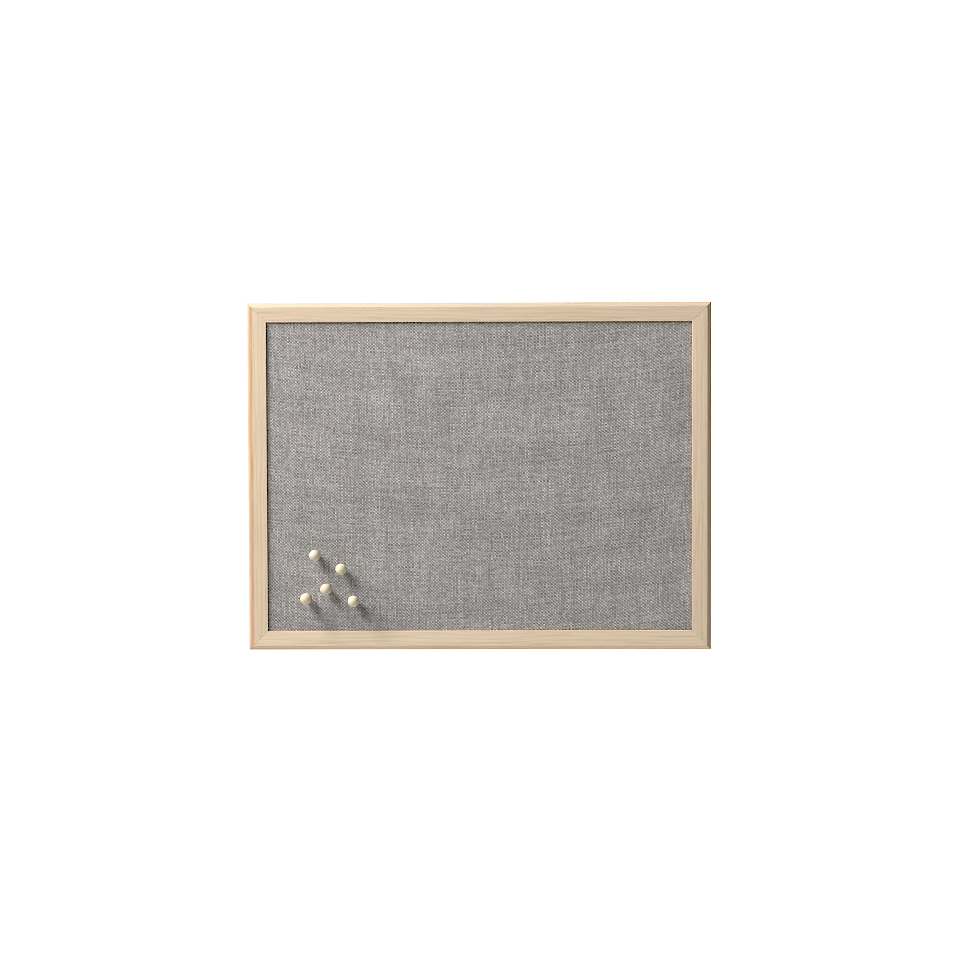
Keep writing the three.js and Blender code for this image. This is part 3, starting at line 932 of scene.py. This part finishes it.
# bright drawn wire: fine rings across it and a slightly uneven polish
def needleMaterial():
    material, tree, shader = newMaterial("needle_bright_wire")
    lines = drawnNoise(tree, place(tree), pin["wireScales"])
    colour = mixTint(tree, lines, pin["wireDull"], pin["wireBright"])
    feed(tree, shader, Base_Color=colour, Metallic=1.0,
         Roughness=timesPlus(tree, lines, *pin["wireRoughness"]))
    return material


# each turned form stands on its place with its axis towards the front
def makePins():
    wire = needleMaterial()
    head, needle = pinProfile(), needleProfile()
    for k, (x, z) in enumerate(pinPlaces):
        body = f"pin_{k + 1}"
        wood = pinMaterial(body + "_turned_wood", pin["tints"][k])
        for profile, sides, name, material, slot, node in (
                (head, pin["sides"], body + "_turned_head", wood, "pin_wood", body + "_head"),
                (needle, pin["needleSides"], body + "_wire_needle", wire, "needle_steel", body + "_needle")):
            form = turned(profile, sides)
            points = np.stack([x + form[..., 0], pinFoot - form[..., 2], z + form[..., 1]], -1)
            piece = makePiece(name, points, turnedFaces(len(profile), sides))
            dress(piece, material, body, node)


makePins()
print("pins made")


# Hangers

hanger = {
    "strapWidth": 7.0,
    "strapThickness": 0.8,
    "strapLength": 21.3,
    "strapSteps": 60,
    "strapEase": 0.3,  # share of the half section that its rounded corners take
    "strapEaseSteps": 4,
    "strapEaseAcross": 0.35,  # how much of that easing is kept across the width
    "tailHalf": 0.1414,  # half width left at the tail's end
    "eye": 1.2,
    "curlEnd": math.radians(-100),
    "curlSteps": 48,
    "wire": 0.9,
    "wireSides": 20,
    "ringHalf": 5.8,
    "ringLeg": 3.4,
    "ringCorner": 1.6,
    "ringCornerSteps": 14,
    "ringBowSteps": 60,
    "ringSteps": 144,
    "screwDrop": 16.1,
    "screwSeat": 0.2,
    "screwRadius": 1.3,
    "screwLength": 10.0,
    "screwTip": 2.6,
    "screwSides": 48,
    "screwSharpAngle": 35.0,
    "headRadius": 2.7,
    "headHeight": 1.7,
    "headEdge": 0.15,
    "headSteps": 34,
    "recess": 1.0,
    "crossHalf": 0.42,
    "crossWall": 0.16,
    "crossReach": 1.75,
    "crossEnd": 0.5,
}
zinc = {
    "dull": (0.46, 0.48, 0.51),
    "bright": (0.66, 0.67, 0.69),
    "cloudScale": 0.5,
    "cloudRange": (0.3, 0.7),
    "lineScales": (6.0, 6.0, 0.6),
    "lineTone": (0.2, 0.9),
    "lineRoughness": (0.16, 0.24),
    "spotScale": 1.7,
    "spotRange": (0.6, 0.7, 0.0, 0.22),
    "relief": (0.15, 0.00005),
    "sheetShift": (90, 30, 10),  # for the nails and flat points
}
swings = {joint["child"]: joint for joint in frame["joints"] if joint["type"] == "hinge"}


# points evenly spaced round a closed line, by its running length
def evenly(line, count):
    line = np.concatenate([line, line[:1]])
    run = np.concatenate([[0], np.cumsum(np.linalg.norm(np.diff(line, axis=0), axis=1))])
    at = np.linspace(0, run[-1], count, endpoint=False)
    return np.stack([np.interp(at, run, line[:, k]) for k in range(line.shape[1])], -1)


# D outline in its own plane, and a round section carried along it on the outline's normal and the plane's
def ringForm():
    h, corner, wire = hanger["ringHalf"], hanger["ringCorner"], hanger["wire"]
    right = arc(h - corner, -corner, corner, np.pi / 2, 0, hanger["ringCornerSteps"])
    bottom = arc(0, -hanger["ringLeg"], h, 0, -np.pi, hanger["ringBowSteps"])
    left = arc(corner - h, -corner, corner, np.pi, np.pi / 2, hanger["ringCornerSteps"])
    line = evenly(np.concatenate([right, bottom, left]), hanger["ringSteps"])
    ahead = unit(np.roll(line, -1, 0) - np.roll(line, 1, 0))
    normal = np.stack([ahead[:, 1], -ahead[:, 0]], -1)
    angle = np.arange(hanger["wireSides"]) / hanger["wireSides"] * 2 * np.pi
    flat = line[:, None, :] + wire * np.cos(angle)[None, :, None] * normal[:, None, :]
    return np.stack([flat[..., 0], 0 * flat[..., 0] + wire * np.sin(angle), flat[..., 1]], -1)


# a strip with eased edges carried up the strap's line and round the eye; its half width follows a circle
# at the tail
def strapForm():
    thickness, length, steps = hanger["strapThickness"], hanger["strapLength"], hanger["strapSteps"]
    middle = hanger["eye"] + thickness / 2
    straight = np.stack([np.full(steps, -middle), np.linspace(-length, -justShort, steps)], -1)
    curl = arc(0, 0, middle, np.pi, hanger["curlEnd"], hanger["curlSteps"])
    line = np.concatenate([straight, curl])
    half = hanger["strapWidth"] / 2
    fromEnd = np.clip(half - (line[:, 1] + length), 0, half)
    fromEnd[steps:] = 0
    wide = np.sqrt(np.maximum(half ** 2 - fromEnd ** 2, hanger["tailHalf"] ** 2))
    ahead = unit(np.gradient(line, axis=0))
    normal = np.stack([-ahead[:, 1], ahead[:, 0]], -1)
    square = [(-1, -1), (1, -1), (1, 1), (-1, 1)]
    across, through = easedLoop(square, [hanger["strapEase"]] * len(square), hanger["strapEaseSteps"]).T
    across = np.sign(across) * (1 - (1 - np.abs(across)) * hanger["strapEaseAcross"])
    x = wide[:, None] * across[None]
    flat = line[:, None, :] + (through * thickness / 2)[None, :, None] * normal[:, None, :]
    return np.stack([x, flat[..., 0], flat[..., 1]], -1)


# pointed shank, flat seat and domed head on one turned grid; the cross is sunk into the dome by its own mask
def screwForm():
    r, length, tip = hanger["screwRadius"], hanger["screwLength"], hanger["screwTip"]
    head, high, edge = hanger["headRadius"], hanger["headHeight"], hanger["headEdge"]
    shank = np.array([(0, -length), (r / 2, tip / 2 - length), (r, tip - length), (r, -justShort),
                      (head - edge, 0), (head, edge)])
    dome = quadratic((head, edge), (head, high), (0, high), hanger["headSteps"])[1:]
    profile = np.concatenate([shank, dome])
    points = turned(profile, hanger["screwSides"])
    x, y = np.abs(points[..., 0]), np.abs(points[..., 1])
    near, far = np.minimum(x, y), np.maximum(x, y)
    cross = np.clip((hanger["crossHalf"] - near) / hanger["crossWall"], 0, 1)
    cross *= np.clip((hanger["crossReach"] - far) / hanger["crossEnd"], 0, 1)
    onHead = (np.arange(len(profile)) >= len(shank))[:, None]
    points[..., 2] -= hanger["recess"] * cross * onHead
    return points


# zinc plate on steel: cloudy tone, fine rolling lines and duller spots
def zincMaterial(name, shift=(0, 0, 0)):
    material, tree, shader = newMaterial(name)
    at = place(tree, shift=shift)
    cloud = noise(tree, at, zinc["cloudScale"], detail=3.0, roughness=0.6)
    lines = drawnNoise(tree, at, zinc["lineScales"])
    colour = mixTint(tree, remap(tree, cloud, *zinc["cloudRange"]), zinc["dull"], zinc["bright"])
    colour = shade(tree, colour, timesPlus(tree, lines, *zinc["lineTone"]))
    spots = remap(tree, noise(tree, at, zinc["spotScale"]), *zinc["spotRange"])
    rough = plus(tree, spots, timesPlus(tree, lines, *zinc["lineRoughness"]))
    feed(tree, shader, Base_Color=colour, Metallic=1.0, Roughness=rough,
         Normal=bump(tree, lines, *zinc["relief"]))
    return material


# ring, strap and screw set on the place of each ring's hinge
def makeHangers():
    plate = zincMaterial("hanger_zinc")
    ring, strap, screw = ringForm(), strapForm(), screwForm()
    screwPoints = screw[..., [0, 2, 1]]
    screwFaces = turnedFaces(len(screw), hanger["screwSides"])
    for side in ("left", "right"):
        axis = inMm(swings["ring_" + side]["pos_m"])
        faces = [gridQuads(*ring.shape[:2], True, True)]
        piece = makePiece("hanger_wire_ring_" + side, axis + ring, faces)
        dress(piece, plate, "ring_" + side, "hanger_ring_" + side)
        faces = loftFaces(*strap.shape[:2])
        piece = makePiece("hanger_rolled_strap_" + side, axis + strap, faces)
        dress(piece, plate, "board", "hanger_strap_" + side)
        points = axis + [0, hanger["screwSeat"] - hanger["eye"], -hanger["screwDrop"]] + screwPoints
        piece = makePiece("hanger_cross_screw_" + side, points, screwFaces, hanger["screwSharpAngle"])
        dress(piece, plate, "board", "hanger_screw_" + side)


makeHangers()
print("hangers made")


# Carried-over pieces

hardboard = {
    "brown": (0.20, 0.115, 0.058),
    "pale": (0.30, 0.185, 0.10),
    "mottleScale": 0.06,
    "mottleRange": (0.3, 0.7, 0.3, 0.65),
    "fleck": (0.13, 0.07, 0.035),
    "fleckScale": 0.9,
    "fleckRange": (0.6, 0.75, 0.0, 0.7),
    "strand": (0.38, 0.26, 0.15),
    "strandScales": (0.35, 1.0, 2.4),
    "strandRange": (0.62, 0.74, 0.0, 0.5),
    "roughRange": (0.3, 0.7, 0.5, 0.68),
    "specular": 0.4,
    "relief": (0.25, 0.0001),
}
softboard = {
    "deep": (0.30, 0.20, 0.11),
    "pale": (0.50, 0.36, 0.22),
    "strandScales": (0.5, 2.2, 1.4),
    "gritScale": 1.6,
    "gritTone": (0.4, 0.8),
    "roughRange": (0.3, 0.7, 0.9, 1.0),
    "specular": 0.2,
    "relief": (0.5, 0.0003),
}


# pressed brown fibre: mottled tone, short flecks and a faint sheen
def hardboardMaterial():
    material, tree, shader = newMaterial("backing_hardboard")
    at = place(tree)
    mottle = noise(tree, at, hardboard["mottleScale"], detail=4.0, roughness=0.65)
    fleck = noise(tree, at, hardboard["fleckScale"], detail=3.0, roughness=0.7)
    strand = drawnNoise(tree, at, hardboard["strandScales"], roughness=0.6)
    share = remap(tree, mottle, *hardboard["mottleRange"])
    colour = mixTint(tree, share, hardboard["brown"], hardboard["pale"])
    colour = mixTint(tree, remap(tree, fleck, *hardboard["fleckRange"]), colour, hardboard["fleck"])
    colour = mixTint(tree, remap(tree, strand, *hardboard["strandRange"]), colour, hardboard["strand"])
    feed(tree, shader, Base_Color=colour, Normal=bump(tree, fleck, *hardboard["relief"]),
         Roughness=remap(tree, fleck, *hardboard["roughRange"]), Specular_IOR_Level=hardboard["specular"])
    return material


# soft fibre board: loose strands of two tones and an open, rough surface
def softboardMaterial():
    material, tree, shader = newMaterial("core_softboard")
    at = place(tree)
    strand = drawnNoise(tree, at, softboard["strandScales"], detail=3.0, roughness=0.65)
    grit = noise(tree, at, softboard["gritScale"])
    colour = mixTint(tree, strand, softboard["deep"], softboard["pale"])
    colour = shade(tree, colour, timesPlus(tree, grit, *softboard["gritTone"]))
    feed(tree, shader, Base_Color=colour, Normal=bump(tree, strand, *softboard["relief"]),
         Roughness=remap(tree, grit, *softboard["roughRange"]), Specular_IOR_Level=softboard["specular"])
    return material


paint(nodes["backing_board"], hardboardMaterial())
paint(nodes["softboard_core"], softboardMaterial())
sheetZinc = zincMaterial("nail_and_point_zinc", zinc["sheetShift"])
for nodeName in nodes:
    if nodeName.startswith(("corner_nail", "panel_point")):
        paint(nodes[nodeName], sheetZinc)
print("carried-over pieces dressed")


# Studio, in metres

studio = {
    "lamps": {
        "window": {"towards": (-0.4575, -0.6691, 0.5856), "distance": 2.2, "size": 0.7, "power": 22.5},
        "strip": {"towards": (-0.6825, -0.5, 0.5332), "distance": 2.2, "size": 0.45, "power": 7.5},
        "side": {"towards": (-0.6432, -0.2756, 0.7144), "distance": 2.2, "size": 0.7, "power": 43.0},
        "door": {"towards": (-0.803, -0.3746, 0.4636), "distance": 2.2, "size": 0.7, "power": 13.5},
        "right": {"towards": (0.954, -0.3, 0.0), "distance": 2.0, "size": 1.4, "power": 1.6},
        "back": {"towards": (0.45, 0.75, 0.5), "distance": 2.6, "size": 1.6, "power": 58.0},
    },
    "aimDepth": -0.01,
    "ambient": (0.04, 0.04, 0.04),
    "whiteness": 1.08,
    "pixelFilter": 0.9,
    "sharpen": 0.036,
    "floorHeight": -2.2,
    "floorRadius": 5.0,
    "floorRings": 12,
    "floorSides": 96,
    "floorTones": ((0.80, 0.80, 0.79), (0.86, 0.86, 0.85)),
    "floorToneScale": 0.004,
    "floorGlow": 0.63,
    "floorRoughness": 0.8,
    "floorSpecular": 0.2,
}


# a round lamp on a given direction from the board's middle; its own axes are the direction, the part of the
# board's normal that is square to it, and their cross product
def addLamp(name, towards, distance, size, power):
    data = bpy.data.lights.new(name, "AREA")
    data.shape = "DISK"
    data.size = size
    data.energy = power
    lamp = addObject(name, data)
    towards = Vector(towards).normalized()
    normal = Vector((0.0, -1.0, 0.0))
    upright = (normal - towards * normal.dot(towards)).normalized()
    lamp.location = Vector((0.0, studio["aimDepth"], boardMiddle[2] * mm)) + towards * distance
    lamp.rotation_mode = "QUATERNION"
    axes = Matrix((upright.cross(towards), upright, towards))
    lamp.rotation_quaternion = axes.transposed().to_quaternion()
    lamp.visible_camera = False


# rings of a disc, radius by angle, that glows a little as soft light from below
def makeFloor():
    rings, sides = studio["floorRings"] + 1, studio["floorSides"]
    radius = np.linspace(0, studio["floorRadius"], rings)
    profile = np.stack([radius, np.full(rings, studio["floorHeight"])], -1) / mm
    quads = gridQuads(rings, sides, wrapCols=True)[sides:]
    floor = makePiece("studioFloor", turned(profile, sides), [quads, poleFan(sides)], closed=False)
    material, tree, shader = newMaterial("pale_floor")
    tone = noise(tree, place(tree), studio["floorToneScale"], detail=3.0)
    colour = mixTint(tree, tone, *studio["floorTones"])
    feed(tree, shader, Base_Color=colour, Emission_Color=colour, Emission_Strength=studio["floorGlow"],
         Roughness=studio["floorRoughness"], Specular_IOR_Level=studio["floorSpecular"])
    paint(floor, material)


# white to the camera, a low even light to everything else
def makeWorld():
    world = bpy.data.worlds.new("studio")
    world.use_nodes = True
    bpy.context.scene.world = world
    tree = world.node_tree
    tree.nodes.clear()
    out = tree.nodes.new("ShaderNodeOutputWorld")
    seen, lit = tree.nodes.new("ShaderNodeBackground"), tree.nodes.new("ShaderNodeBackground")
    feed(tree, seen, Color=(1, 1, 1, 1), Strength=studio["whiteness"])
    feed(tree, lit, Color=(*studio["ambient"], 1))
    path, mix = tree.nodes.new("ShaderNodeLightPath"), tree.nodes.new("ShaderNodeMixShader")
    tree.links.new(path.outputs["Is Camera Ray"], mix.inputs[0])
    tree.links.new(lit.outputs[0], mix.inputs[1])
    tree.links.new(seen.outputs[0], mix.inputs[2])
    tree.links.new(mix.outputs[0], out.inputs[0])


# the picture's finish: a narrow pixel filter and a denoiser that keep the weave, and a box sharpen that adds
# a share of each pixel's difference from its eight neighbours
def makeFinish():
    scene = bpy.context.scene
    scene.cycles.denoising_prefilter = "NONE"
    scene.cycles.filter_width = studio["pixelFilter"]
    scene.use_nodes = True
    tree = scene.node_tree
    tree.nodes.clear()
    layers = tree.nodes.new("CompositorNodeRLayers")
    crisp = tree.nodes.new("CompositorNodeFilter")
    crisp.filter_type = "SHARPEN"
    crisp.inputs["Fac"].default_value = studio["sharpen"]
    out = tree.nodes.new("CompositorNodeComposite")
    tree.links.new(layers.outputs["Image"], crisp.inputs["Image"])
    tree.links.new(crisp.outputs["Image"], out.inputs["Image"])
    look = scene.view_settings
    look.view_transform = "Standard"
    look.look = "None"
    look.exposure = 0.0
    look.gamma = 1.0


for lampName, lamp in studio["lamps"].items():
    addLamp(lampName + "Lamp", **lamp)
makeFloor()
makeWorld()
makeFinish()
print("studio set")
